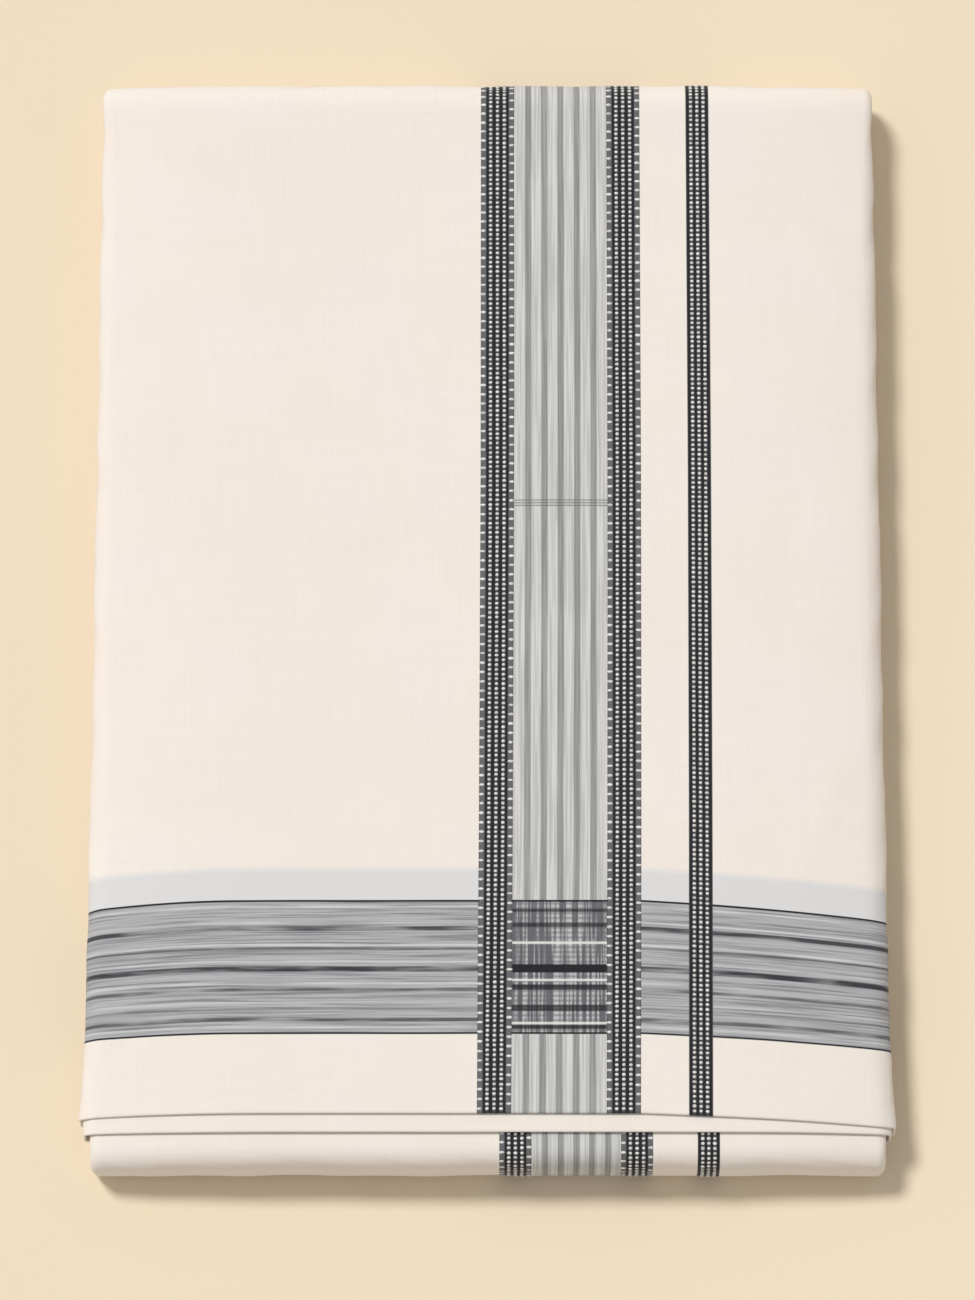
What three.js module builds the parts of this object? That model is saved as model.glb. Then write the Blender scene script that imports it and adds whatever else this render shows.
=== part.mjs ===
import * as THREE from 'three';

// A long cotton dhoti, pressed and folded into a flat packet that lies on its underside.
// Millimetres. +X is the packet's width, +Y runs from its front to its back, +Z is up.
// The origin is the middle of the packet's box, on the surface it rests on.
//
// The cloth is folded to the packet's width first and then rolled lengthwise, so one strip
// of it runs from the hem on top, back and round the back fold, along the underside, round
// the front fold, and in again under the hem. The strip is built as two solid walls that
// meet on the underside. Inside them the hidden layers share one rounded solid.

// Driving sizes of the packet and of one ply.
const LENGTH = 345;
const HALF_WIDTH = 120;
const HEIGHT = 24;
const PLY = 1.25;
const GAP = 0.35;
const LAYER = PLY + GAP;

// Where the hem, the ply under it, and the hidden and joined ends lie along Y.
const HEM_Y = -156.1;
const UNDER_PLY_Y = -161.6;
const HIDDEN_END_Y = -104;
const FLARE_END_Y = -140;
const UNDERSIDE_JOIN_Y = 60;

// The weft bows at the left end of the hem and is pulled askew towards its right end.
const HEM_BOW = { start: -60, end: -115, drop: 0.8 };
const HEM_SKEW = { start: 48, end: 118, drop: 3.2 };
const HEM_SKEW_REACH = 190;

// The packet is lower at its sides than along its middle.
const CROWN = { front: 4.6, back: 3.6, power: 5 };

// Big folds at the two ends: how far they reach along Y, and how square they are.
const BACK_FOLD = { reach: 11, squareness: 2.4 };
const FRONT_FOLD = { reach: 8, squareness: 2.6 };

// Sections of the strip: how far it stands out past the packet, how far its side folds hang
// at the left and right, and the radius of its shoulders.
const FLAP_ROWS = [
  { y: HEM_Y, flare: 3.0, left: 16.0, right: 17.0, shoulder: 5.6 },
  { y: FLARE_END_Y, flare: 2.1, left: 14.5, right: 15.0, shoulder: 5.8 },
  { y: HIDDEN_END_Y, flare: 1.5, left: 12.5, right: 13.2, shoulder: 6.0 },
  { y: -40, flare: 1.0, left: 11.4, right: 11.0, shoulder: 6.0 },
  { y: 60, flare: 0.5, left: 10.4, right: 10.8, shoulder: 5.0 },
  { y: 130, flare: 0.2, left: 9.0, right: 9.4, shoulder: 4.4 },
];
const BACK_BEND_ROW = { flare: 0, left: 4.6, right: 4.6, shoulder: 2.4 };
const UNDERSIDE_ROW = { flare: 0, left: 4.0, right: 4.0, shoulder: 2.4 };
const FRONT_BEND_ROW = { flare: 0, left: 4.0, right: 4.0, shoulder: 2.6 };
const FRONT_LIP_ROW = { left: 5.0, right: 5.0, shoulder: 3.4 };
const LIP_RADIUS = 1.3;

// Folded edges of the hidden layers, from the lowest up: how far each is pushed in.
const LAYER_EDGES = [
  { left: 0.0, right: 0.4 },
  { left: 0.7, right: 0.0 },
  { left: 0.2, right: 0.8 },
  { left: 0.9, right: 0.2 },
  { left: 0.1, right: 0.5 },
  { left: 0.6, right: 0.0 },
  { left: 0.0, right: 0.9 },
  { left: 1.0, right: 0.3 },
];
const EDGE_GROOVE = 1.5;
const CORE_HALF_WIDTH = 118;
const CORE_CLEARANCE = 0.2;

// Over this stretch the hidden layers step up to the flap, past the ends that tuck under it.
const STEP_UP = { start: HIDDEN_END_Y + 1, end: HIDDEN_END_Y + 12 };

// Fineness of the faceted surfaces.
const SHOULDER_STEPS = 4;
const LIP_STEPS = 2;
const HALF_TOP_STEPS = 6;
const BEND_STEPS = 10;
const CORE_END_ANGLE = 0.44 * Math.PI;
const CORE_END_STEPS = 5;

const CREAM = 0xf1e8dc;
const SHADED_CREAM = 0xe6dccd;

function clamp01(value) {
  return Math.min(1, Math.max(0, value));
}

function smooth(from, to, value) {
  const t = clamp01((value - from) / (to - from));
  return t * t * (3 - 2 * t);
}

function mix(a, b, t) {
  return a + (b - a) * t;
}

// One value of the flap's table at any y, between its rows.
function flapRow(y) {
  const found = FLAP_ROWS.findIndex((row) => row.y >= y);
  const next = Math.max(1, found < 0 ? FLAP_ROWS.length - 1 : found);
  const a = FLAP_ROWS[next - 1];
  const b = FLAP_ROWS[next];
  const t = clamp01((y - a.y) / (b.y - a.y));
  return {
    y,
    flare: mix(a.flare, b.flare, t),
    left: mix(a.left, b.left, t),
    right: mix(a.right, b.right, t),
    shoulder: mix(a.shoulder, b.shoulder, t),
  };
}

// The same section some layers further in.
function inset(row, layers) {
  const depth = layers * LAYER;
  return {
    flare: row.flare - depth,
    left: row.left - depth,
    right: row.right - depth,
    shoulder: row.shoulder - depth,
  };
}

// The crown, as the share of its height that a point at x and y keeps.
function crownScale(x, y) {
  const fall = mix(CROWN.front, CROWN.back, clamp01(y / LENGTH + 0.5));
  const across = Math.min(1, Math.abs(x) / HALF_WIDTH);
  return 1 - (fall / HEIGHT) * across ** CROWN.power;
}

function superellipse(angle, squareness) {
  const e = 2 / squareness;
  const s = Math.sin(angle);
  const c = Math.cos(angle);
  return {
    out: Math.abs(s) ** e,
    up: Math.sign(c) * Math.abs(c) ** e,
    normalOut: Math.abs(s) ** (2 - e),
    normalUp: Math.sign(c) * Math.abs(c) ** (2 - e),
  };
}

function arcPoints(x, h, radius, from, to, steps) {
  return Array.from({ length: steps + 1 }, (_, i) => {
    const angle = mix(from, to, i / steps);
    const nx = Math.cos(angle);
    const nh = Math.sin(angle);
    return { x: x + radius * nx, h: h + radius * nh, nx, nh };
  });
}

// Left half of a strip's section, from the lip of its side fold up over the shoulder to the
// middle. x is across the strip, h is height along the strip's outward normal, and nx, nh is
// the section's own outward normal.
function halfSection(row, drop) {
  const half = HALF_WIDTH + row.flare;
  const r = row.shoulder;
  const lip = arcPoints(LIP_RADIUS - half, LIP_RADIUS - drop, LIP_RADIUS, 1.5 * Math.PI, Math.PI, LIP_STEPS);
  const shoulder = arcPoints(r - half, -r, r, Math.PI, 0.5 * Math.PI, SHOULDER_STEPS);
  const top = Array.from({ length: HALF_TOP_STEPS }, (_, i) => {
    const along = (i + 1) / HALF_TOP_STEPS;
    return { x: (r - half) * (1 - along ** 1.5), h: 0, nx: 0, nh: 1 };
  });
  return [...lip, ...shoulder, ...top];
}

function stripSection(row) {
  const left = halfSection(row, row.left);
  const right = halfSection(row, row.right).map((p) => ({ ...p, x: -p.x, nx: -p.nx }));
  return [...left, ...right.reverse().slice(1)];
}

// Stations round a big fold, from its top to its underside. side is 1 at the back of the
// packet and -1 at its front.
function bendStations(side, fold, topZ, row) {
  const half = topZ / 2;
  return Array.from({ length: BEND_STEPS + 1 }, (_, i) => {
    const at = superellipse((Math.PI * i) / BEND_STEPS, fold.squareness);
    const ny = at.normalOut / fold.reach;
    const nz = at.normalUp / half;
    const size = Math.hypot(ny, nz);
    return {
      y: side * (LENGTH / 2 - fold.reach * (1 - at.out)),
      z: half * (1 + at.up),
      ny: (side * ny) / size,
      nz: nz / size,
      row,
    };
  });
}

function topStation(z, row, y = row.y) {
  return { y, z, ny: 0, nz: 1, row };
}

function undersideStation(y) {
  return { y, z: 0, ny: 0, nz: -1, row: UNDERSIDE_ROW };
}

// How far a point of the flap is drawn forward by the bow and the skew of its hem.
function hemShift(x, y) {
  const bow = HEM_BOW.drop * smooth(HEM_BOW.start, HEM_BOW.end, x);
  const skew = HEM_SKEW.drop * clamp01((x - HEM_SKEW.start) / (HEM_SKEW.end - HEM_SKEW.start));
  return (bow + skew) * (1 - smooth(0, HEM_SKEW_REACH, y - HEM_Y));
}

function solidGeometry(positions, index) {
  const geometry = new THREE.BufferGeometry();
  geometry.setAttribute('position', new THREE.Float32BufferAttribute(positions, 3));
  geometry.setIndex(index);
  geometry.computeVertexNormals();
  return geometry;
}

// A closed wall of one ply through its stations: an outer skin, an inner skin one ply
// further in, and the four edges between them.
function wallGeometry(stations, shift) {
  const positions = [];
  const index = [];
  const across = stripSection(stations[0].row).length;
  for (const station of stations) {
    for (const depth of [0, PLY]) {
      for (const p of stripSection(station.row)) {
        const x = p.x - p.nx * depth;
        const h = p.h - p.nh * depth;
        const y = station.y + h * station.ny - shift(p.x, station.y);
        const z = station.z + h * station.nz;
        positions.push(x, y, z * crownScale(x, y));
      }
    }
  }
  const at = (station, skin, i) => (station * 2 + skin) * across + i;
  const quad = (a, b, c, d) => index.push(a, b, c, a, c, d);
  const last = stations.length - 1;
  const edge = across - 1;
  for (let s = 0; s < last; s += 1) {
    for (let i = 0; i < edge; i += 1) {
      quad(at(s, 0, i), at(s, 0, i + 1), at(s + 1, 0, i + 1), at(s + 1, 0, i));
      quad(at(s, 1, i + 1), at(s, 1, i), at(s + 1, 1, i), at(s + 1, 1, i + 1));
    }
    quad(at(s, 1, 0), at(s, 0, 0), at(s + 1, 0, 0), at(s + 1, 1, 0));
    quad(at(s, 0, edge), at(s, 1, edge), at(s + 1, 1, edge), at(s + 1, 0, edge));
  }
  for (let i = 0; i < edge; i += 1) {
    quad(at(0, 0, i + 1), at(0, 0, i), at(0, 1, i), at(0, 1, i + 1));
    quad(at(last, 0, i), at(last, 0, i + 1), at(last, 1, i + 1), at(last, 1, i));
  }
  return solidGeometry(positions, index);
}

// The outer ply from the hem over the top, round the back and along part of the underside.
function topFlapGeometry() {
  const stations = [
    ...FLAP_ROWS.map((row) => topStation(HEIGHT, row)),
    ...bendStations(1, BACK_FOLD, HEIGHT, BACK_BEND_ROW),
    undersideStation(UNDERSIDE_JOIN_Y + GAP),
  ];
  return wallGeometry(stations, hemShift);
}

// The plain ply under the hem, which shows as a narrow strip in front of it.
function underPlyGeometry() {
  const stations = [UNDER_PLY_Y, FLARE_END_Y, HIDDEN_END_Y].map((y) => {
    return topStation(HEIGHT - LAYER, inset(flapRow(y), 1), y);
  });
  return wallGeometry(stations, () => 0);
}

// The rest of the outer ply: the underside, the front fold and the top of the lower packet.
function frontWrapGeometry() {
  const topZ = HEIGHT - 2 * LAYER;
  const tucked = [HIDDEN_END_Y, FLARE_END_Y, HEM_Y].map((y) => {
    return topStation(topZ, { ...FRONT_LIP_ROW, flare: flapRow(y).flare - 2 * LAYER }, y);
  });
  const stations = [
    ...tucked,
    ...bendStations(-1, FRONT_FOLD, topZ, FRONT_BEND_ROW),
    undersideStation(UNDERSIDE_JOIN_Y),
  ];
  return wallGeometry(stations.reverse(), () => 0);
}

// Stations of the hidden layers: place along Y, lowest and highest point, and half width.
function coreStations() {
  const low = LAYER;
  const tuckedTop = HEIGHT - 3 * LAYER;
  const openTop = HEIGHT - LAYER;
  const tucked = [HEM_Y, FLARE_END_Y, STEP_UP.start].map((y) => {
    const inside = HALF_WIDTH + flapRow(y).flare - 3 * LAYER - CORE_CLEARANCE;
    return { y, low, high: tuckedTop, half: Math.min(CORE_HALF_WIDTH, inside) };
  });
  return [
    ...coreEnd(-1, FRONT_FOLD, low, tuckedTop).reverse(),
    ...tucked,
    { y: STEP_UP.end, low, high: openTop, half: CORE_HALF_WIDTH },
    { y: 20, low, high: openTop, half: CORE_HALF_WIDTH },
    ...coreEnd(1, BACK_FOLD, low, openTop),
  ];
}

// Rounded end of the hidden layers, one layer inside the big fold round it.
function coreEnd(side, fold, low, high) {
  const reach = fold.reach - LAYER;
  const middle = (low + high) / 2;
  return Array.from({ length: CORE_END_STEPS + 1 }, (_, i) => {
    const at = superellipse((CORE_END_ANGLE * i) / CORE_END_STEPS, fold.squareness);
    const rise = (high - middle) * at.up;
    const y = side * (LENGTH / 2 - LAYER - reach * (1 - at.out));
    return { y, low: middle - rise, high: middle + rise, half: CORE_HALF_WIDTH };
  });
}

// One closed section of the hidden layers, as a ring: underside, right edges, top, left edges.
function coreRing(station, fullHeight) {
  const height = station.high - station.low;
  const groove = EDGE_GROOVE * (height / fullHeight);
  const count = LAYER_EDGES.length;
  const flat = (z, sign) => Array.from({ length: 2 * HALF_TOP_STEPS - 1 }, (_, i) => {
    return { x: sign * (station.half - groove) * (1 - (i + 1) / HALF_TOP_STEPS), z };
  });
  const side = (sign, key) => {
    const points = [{ x: sign * (station.half - groove), z: station.low }];
    LAYER_EDGES.forEach((edge, k) => {
      const crest = station.half - Math.min(edge[key], groove);
      const rise = (part) => station.low + (height * (k + part)) / count;
      points.push({ x: sign * crest, z: rise(0.3) });
      points.push({ x: sign * crest, z: rise(0.7) });
      points.push({ x: sign * (station.half - groove), z: rise(1) });
    });
    return points;
  };
  const ring = [
    ...flat(station.low, -1),
    ...side(1, 'right'),
    ...flat(station.high, 1),
    ...side(-1, 'left').reverse(),
  ];
  return ring.map((p) => new THREE.Vector3(p.x, station.y, p.z * crownScale(p.x, station.y)));
}

// The hidden layers as one rounded solid, its folded edges showing at the two sides.
function foldedCoreGeometry() {
  const stations = coreStations();
  const fullHeight = HEIGHT - 2 * LAYER;
  const rings = stations.map((station) => coreRing(station, fullHeight));
  const count = rings[0].length;
  const positions = rings.flat().flatMap((point) => point.toArray());
  const index = [];
  for (let s = 0; s < rings.length - 1; s += 1) {
    for (let i = 0; i < count; i += 1) {
      const a = s * count + i;
      const b = s * count + ((i + 1) % count);
      index.push(a, b + count, b, a, a + count, b + count);
    }
  }
  const closeEnd = (ring, flip) => {
    const middle = new THREE.Vector3();
    rings[ring].forEach((point) => middle.addScaledVector(point, 1 / count));
    const centre = positions.length / 3;
    positions.push(...middle.toArray());
    for (let i = 0; i < count; i += 1) {
      const a = ring * count + i;
      const b = ring * count + ((i + 1) % count);
      index.push(centre, flip ? b : a, flip ? a : b);
    }
  };
  closeEnd(0, false);
  closeEnd(rings.length - 1, true);
  return solidGeometry(positions, index);
}

function cloth(name, geometry, color) {
  const material = new THREE.MeshStandardMaterial({ color, roughness: 0.85, metalness: 0 });
  const mesh = new THREE.Mesh(geometry, material);
  mesh.name = name;
  return mesh;
}

const packet = new THREE.Group();
packet.add(cloth('top_flap', topFlapGeometry(), CREAM));
packet.add(cloth('under_ply', underPlyGeometry(), CREAM));
packet.add(cloth('front_wrap', frontWrapGeometry(), CREAM));
packet.add(cloth('folded_core', foldedCoreGeometry(), SHADED_CREAM));

export default packet;
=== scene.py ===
"""A folded cream cotton dhoti with a beaded and striped border, lying flat."""

import math

import bmesh
import bpy
import numpy as np
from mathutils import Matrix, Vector


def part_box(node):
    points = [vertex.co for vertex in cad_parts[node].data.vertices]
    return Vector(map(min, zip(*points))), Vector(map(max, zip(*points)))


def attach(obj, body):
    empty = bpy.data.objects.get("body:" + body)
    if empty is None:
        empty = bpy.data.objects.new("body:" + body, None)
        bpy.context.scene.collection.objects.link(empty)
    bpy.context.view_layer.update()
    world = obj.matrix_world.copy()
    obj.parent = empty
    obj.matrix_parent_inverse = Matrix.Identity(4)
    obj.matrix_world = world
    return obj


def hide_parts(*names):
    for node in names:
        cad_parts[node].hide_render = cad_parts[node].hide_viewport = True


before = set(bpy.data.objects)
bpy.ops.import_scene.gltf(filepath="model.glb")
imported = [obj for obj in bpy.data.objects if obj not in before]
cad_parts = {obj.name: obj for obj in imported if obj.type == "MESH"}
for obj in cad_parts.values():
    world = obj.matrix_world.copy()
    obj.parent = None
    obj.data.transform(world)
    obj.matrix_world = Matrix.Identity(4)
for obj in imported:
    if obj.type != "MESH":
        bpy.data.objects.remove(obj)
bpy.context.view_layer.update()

# Everything is worked out in millimetres and turned into metres when a mesh is made.
MM = 0.001
NODES = ("top_flap", "under_ply", "front_wrap", "folded_core")
box = {name: [[c / MM for c in corner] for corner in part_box(name)] for name in NODES}

# Driving sizes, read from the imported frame.
LENGTH = box["top_flap"][1][1] - box["front_wrap"][0][1]
HALF_WIDTH = box["front_wrap"][1][0]
HEIGHT = box["top_flap"][1][2]
UNDER_PLY_Y = box["under_ply"][0][1]
HIDDEN_END_Y = box["under_ply"][1][1]
UNDERSIDE_JOIN_Y = box["front_wrap"][1][1]
BACK_Y = LENGTH / 2

# The cloth is thinner than the frame's walls, so its tucked plies lie a little higher.
PLY = 0.85
UNDER_PLY_STEP = 1.25
FRONT_WRAP_STEP = 2.75
UNDER_PLY_REACH = 5.5
UNDER_PLY_Z = HEIGHT - UNDER_PLY_STEP
FRONT_WRAP_Z = HEIGHT - FRONT_WRAP_STEP
HEM_Y = UNDER_PLY_Y + UNDER_PLY_REACH
JOIN_GAP = 0.06

CROWN = {"front": 4.6, "back": 3.6, "power": 5}
BACK_FOLD = {"reach": 11, "squareness": 2.4}
FRONT_FOLD = {"reach": 8, "squareness": 2.6}
LIP_RADIUS = 0.9
LIP_RETURN = 3.2
LIP_LIFT = 0.35
TOP_CROWDING = 1.15

# Sections of the strip: flare past the packet, how far each side fold hangs, and the radius
# of the shoulders.
FLAP_ROWS = [
    {"y": HEM_Y, "flare": 3.0, "left": 16.0, "right": 17.0, "shoulder": 5.6},
    {"y": -140, "flare": 2.1, "left": 14.5, "right": 15.0, "shoulder": 5.8},
    {"y": HIDDEN_END_Y, "flare": 1.5, "left": 12.5, "right": 13.2, "shoulder": 6.0},
    {"y": -40, "flare": 1.0, "left": 11.4, "right": 11.0, "shoulder": 6.0},
    {"y": 60, "flare": 0.5, "left": 10.4, "right": 10.8, "shoulder": 5.0},
    {"y": 130, "flare": 0.2, "left": 9.0, "right": 9.4, "shoulder": 4.4},
    {"y": 161.5, "flare": 0.0, "left": 4.8, "right": 4.8, "shoulder": 2.6},
]
BACK_BEND_ROW = {"flare": 0.0, "left": 4.6, "right": 4.6, "shoulder": 2.4}
UNDERSIDE_ROW = {"flare": 0.0, "left": 4.0, "right": 4.0, "shoulder": 2.4}
FRONT_BEND_ROW = {"flare": 0.0, "left": 4.0, "right": 4.0, "shoulder": 2.6}
FRONT_LIP_ROW = {"left": 5.0, "right": 5.0, "shoulder": 3.4}
# How far a tucked ply's section is inside the flap's.
UNDER_PLY_INSET = {"flare": 1.3, "left": 1.7, "right": 1.7, "shoulder": 1.2}
FRONT_LIP_INSET = 3.0
ROW_KEYS = ("flare", "left", "right", "shoulder")

# How the weft is drawn forward at each side, at the hem and at the end band behind it.
WEFT_LEFT = {"start": -78, "end": -121, "hem": 0.8, "band": 2.2}
WEFT_RIGHT = {"start": 47, "end": 118, "hem": 3.4, "band": 5.4}
WEFT_BAND_V = 62
WEFT_LEFT_POWER = 1.6
WEFT_RIGHT_SAG = 0.06
WEFT_FADE = (90, 300)

# The warp border's sideways drift along the flap: v from the hem, and millimetres to the right.
WARP_DRIFT = [
    {"v": 0, "shift": -0.8},
    {"v": 90, "shift": -0.2},
    {"v": 200, "shift": 0.3},
    {"v": 330, "shift": 0.4},
    {"v": 500, "shift": 0.4},
]
# The lower packet's border: its shift at u 5, and how much it is drawn together.
WRAP_DRIFT = {"shift": 5.5, "from": 5, "narrowing": 0.062}
DRIFT_WIDTH = 0.8 * HALF_WIDTH

SEED = 41
SWELL = 0.16
FOLD_WANDER = 0.7


# --- shape of the folded strip -------------------------------------------------------------

def clamp01(value):
    return np.clip(value, 0.0, 1.0)


def smooth(start, end, value):
    t = clamp01((np.asarray(value, float) - start) / (end - start))
    return t * t * (3 - 2 * t)


def table_value(rows, at, key, value):
    return np.interp(value, [row[at] for row in rows], [row[key] for row in rows])


def wander(value, seed, size, waves):
    """An uneven wave along value: a few sines of about the given wavelengths."""
    rng = np.random.default_rng(seed)
    total = np.zeros_like(np.asarray(value, float))
    for wave in waves:
        turn = 2 * math.pi * np.asarray(value, float) / (wave * rng.uniform(0.85, 1.15))
        total = total + np.sin(turn + rng.uniform(0, 2 * math.pi))
    return size * total / len(waves)


def crown_scale(x, y):
    fall = CROWN["front"] + (CROWN["back"] - CROWN["front"]) * clamp01(y / LENGTH + 0.5)
    across = np.minimum(1.0, np.abs(x) / HALF_WIDTH)
    return 1 - fall / HEIGHT * across ** CROWN["power"]


def superellipse(angle, squareness):
    """Out, up and the two parts of the normal, for angles from 0 at the top to pi below."""
    e = 2 / squareness
    s, c = np.abs(np.sin(angle)), np.cos(angle)
    up = np.sign(c)
    c = np.abs(c)
    return s**e, up * c**e, s ** (2 - e), up * c ** (2 - e)


def bend_path(side, fold, top_z, row, steps):
    """Round a big fold from its top to its underside. side is 1 at the back, -1 at the front."""
    out, up, normal_out, normal_up = superellipse(np.linspace(0, math.pi, steps), fold["squareness"])
    ny, nz = side * normal_out / fold["reach"], normal_up / (top_z / 2)
    size = np.hypot(ny, nz)
    y = side * (BACK_Y - fold["reach"] * (1 - out))
    z = top_z / 2 * (1 + up)
    rows = {key: np.full(steps, float(row[key])) for key in ROW_KEYS}
    return {"y": y, "z": z, "ny": ny / size, "nz": nz / size, **rows}


def flat_path(ys, z, up, rows):
    ys = np.asarray(ys, float)
    columns = {key: table_value(rows, "y", key, ys) for key in ROW_KEYS}
    zero = np.zeros(len(ys))
    return {"y": ys, "z": zero + z, "ny": zero, "nz": zero + (1 if up else -1), **columns}


def joined(*paths):
    """One path from several, without the point where one ends and the next begins."""
    keys = paths[0].keys()
    return {key: np.concatenate([paths[0][key]] + [p[key][1:] for p in paths[1:]]) for key in keys}


def reversed_path(path):
    return {key: values[::-1] for key, values in path.items()}


def along_path(path):
    step = np.hypot(np.diff(path["y"]), np.diff(path["z"]))
    return np.concatenate([[0.0], np.cumsum(step)])


def half_section(path, side, counts):
    """One half of every station's section, from the middle out to the end of its side fold."""
    half = HALF_WIDTH + path["flare"]
    drop = path["left"] if side < 0 else path["right"]
    r = path["shoulder"]
    column = np.ones_like(half)[:, None]
    half, drop, r = half[:, None], drop[:, None], r[:, None]
    t = np.linspace(0, 1, counts["top"])[None, :]
    # The points crowd towards the shoulder.
    t = 1 - (1 - t) ** TOP_CROWDING
    top = (t * (half - r), 0 * t * column, 0 * t * column, column + 0 * t)
    a = np.linspace(math.pi / 2, 0, counts["shoulder"])[None, 1:]
    turn = (half - r + r * np.cos(a), -r + r * np.sin(a), column * np.cos(a), column * np.sin(a))
    t = np.linspace(0, 1, counts["side"])[None, 1:]
    low = -(drop - LIP_RADIUS)
    hang = (half + 0 * t, -r + t * (low + r), column + 0 * t, 0 * t * column)
    a = np.linspace(0, -math.pi / 2, counts["lip"])[None, 1:]
    lip = (half - LIP_RADIUS * (1 - np.cos(a)), low + LIP_RADIUS * np.sin(a),
           column * np.cos(a), column * np.sin(a))
    t = np.linspace(0, 1, counts["return"])[None, 1:]
    back = (half - LIP_RADIUS - t * LIP_RETURN, -drop + LIP_LIFT * t**2, 0 * t * column, -column + 0 * t)
    x, h, nx, nh = (np.concatenate(parts, axis=1) for parts in zip(top, turn, hang, lip, back))
    return side * x, h, side * nx, nh


def section_grid(path, counts):
    left = half_section(path, -1, counts)
    right = half_section(path, 1, counts)
    return [np.concatenate([a[:, :0:-1], b], axis=1) for a, b in zip(left, right)]


def weft_shift(x, v):
    """How far the cloth at x across and v from the hem is drawn towards the front."""
    ease = clamp01(v / WEFT_BAND_V)
    fade = 1 - smooth(*WEFT_FADE, v)
    left = clamp01((x - WEFT_LEFT["start"]) / (WEFT_LEFT["end"] - WEFT_LEFT["start"])) ** WEFT_LEFT_POWER
    right = clamp01((x - WEFT_RIGHT["start"]) / (WEFT_RIGHT["end"] - WEFT_RIGHT["start"]))
    right = right - WEFT_RIGHT_SAG * np.sin(math.pi * right)
    of_left = WEFT_LEFT["hem"] + (WEFT_LEFT["band"] - WEFT_LEFT["hem"]) * ease
    of_right = WEFT_RIGHT["hem"] + (WEFT_RIGHT["band"] - WEFT_RIGHT["hem"]) * ease
    return fade * (left * of_left + right * of_right)


# Soft creases and presses of the top, placed one by one: middle, direction in degrees from +X,
# half length, half width and height in millimetres.
CREASES = [
    {"x": -62, "y": 118, "angle": 8, "long": 70, "wide": 5.0, "rise": -0.16},
    {"x": 78, "y": 146, "angle": -24, "long": 34, "wide": 3.6, "rise": -0.22},
    {"x": 104, "y": 112, "angle": -62, "long": 30, "wide": 3.2, "rise": 0.20},
    {"x": -96, "y": 40, "angle": 82, "long": 60, "wide": 5.5, "rise": -0.18},
    {"x": -30, "y": -12, "angle": 3, "long": 84, "wide": 6.0, "rise": 0.12},
    {"x": 92, "y": 8, "angle": 86, "long": 74, "wide": 5.0, "rise": -0.17},
    {"x": -78, "y": -74, "angle": -7, "long": 46, "wide": 4.2, "rise": 0.13},
    {"x": 100, "y": -70, "angle": 74, "long": 38, "wide": 4.0, "rise": 0.15},
    {"x": -104, "y": -128, "angle": 55, "long": 26, "wide": 3.4, "rise": -0.20},
    {"x": 96, "y": -136, "angle": -40, "long": 28, "wide": 3.6, "rise": -0.22},
]


def top_relief(x, y):
    """Height of the pressed surface's faint swells and of the listed creases."""
    swell = wander(x + 0.35 * y, SEED, SWELL, (58, 91, 37))
    swell = swell + wander(y - 0.2 * x, SEED + 1, SWELL, (71, 118, 43))
    for crease in CREASES:
        a = math.radians(crease["angle"])
        dx, dy = x - crease["x"], y - crease["y"]
        along = (dx * math.cos(a) + dy * math.sin(a)) / crease["long"]
        off = (dy * math.cos(a) - dx * math.sin(a) + 1.4 * np.sin(2.1 * along)) / crease["wide"]
        swell = swell + crease["rise"] * np.exp(-(off**2)) * np.exp(-(along**2) * 1.6)
    return swell


def cloth_surface(path, v, counts, drift, shifted):
    """Points of a strip's outer skin, with the cloth's own coordinates u across and v along."""
    x, h, nx, nh = section_grid(path, counts)
    along_v = np.repeat(v[:, None], x.shape[1], axis=1)
    y = path["y"][:, None] + h * path["ny"][:, None]
    z = path["z"][:, None] + h * path["nz"][:, None]
    if shifted:
        y = y - weft_shift(x, along_v) * path["nz"][:, None].clip(0, 1)
    u = x.copy()
    middle = x.shape[1] // 2
    for step in (1, -1):
        columns = range(middle + step, x.shape[1] if step > 0 else -1, step)
        for i in columns:
            u[:, i] = u[:, i - step] + step * np.hypot(x[:, i] - x[:, i - step], h[:, i] - h[:, i - step])
    flat = np.exp(-((np.abs(x) / DRIFT_WIDTH) ** 6))
    x = x + drift(x, v[:, None]) * flat
    z = z * crown_scale(x, y)
    upward = clamp01(path["nz"])[:, None] * clamp01(nh)
    z = z + top_relief(x, y) * upward
    outward = np.abs(nx) * np.sign(x)
    x = x + outward * (wander(y, SEED + 2, 0.35, (83, 49, 27)) + wander(y + 3 * z, SEED + 3, 0.18, (31, 17)))
    facing = path["ny"][:, None] * clamp01(nh)
    y = y + facing * (wander(x, SEED + 4, 0.28, (77, 45, 29)) + wander(x + 4 * z, SEED + 5, 0.12, (23, 15)))
    return np.stack([x, y, z], axis=2), u, along_v


def unit(vectors):
    return vectors / np.linalg.norm(vectors, axis=-1, keepdims=True)


def grid_normals(points):
    across = np.gradient(points, axis=1)
    along = np.gradient(points, axis=0)
    return unit(np.cross(across, along))


# --- turning surfaces into pieces ----------------------------------------------------------

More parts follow.
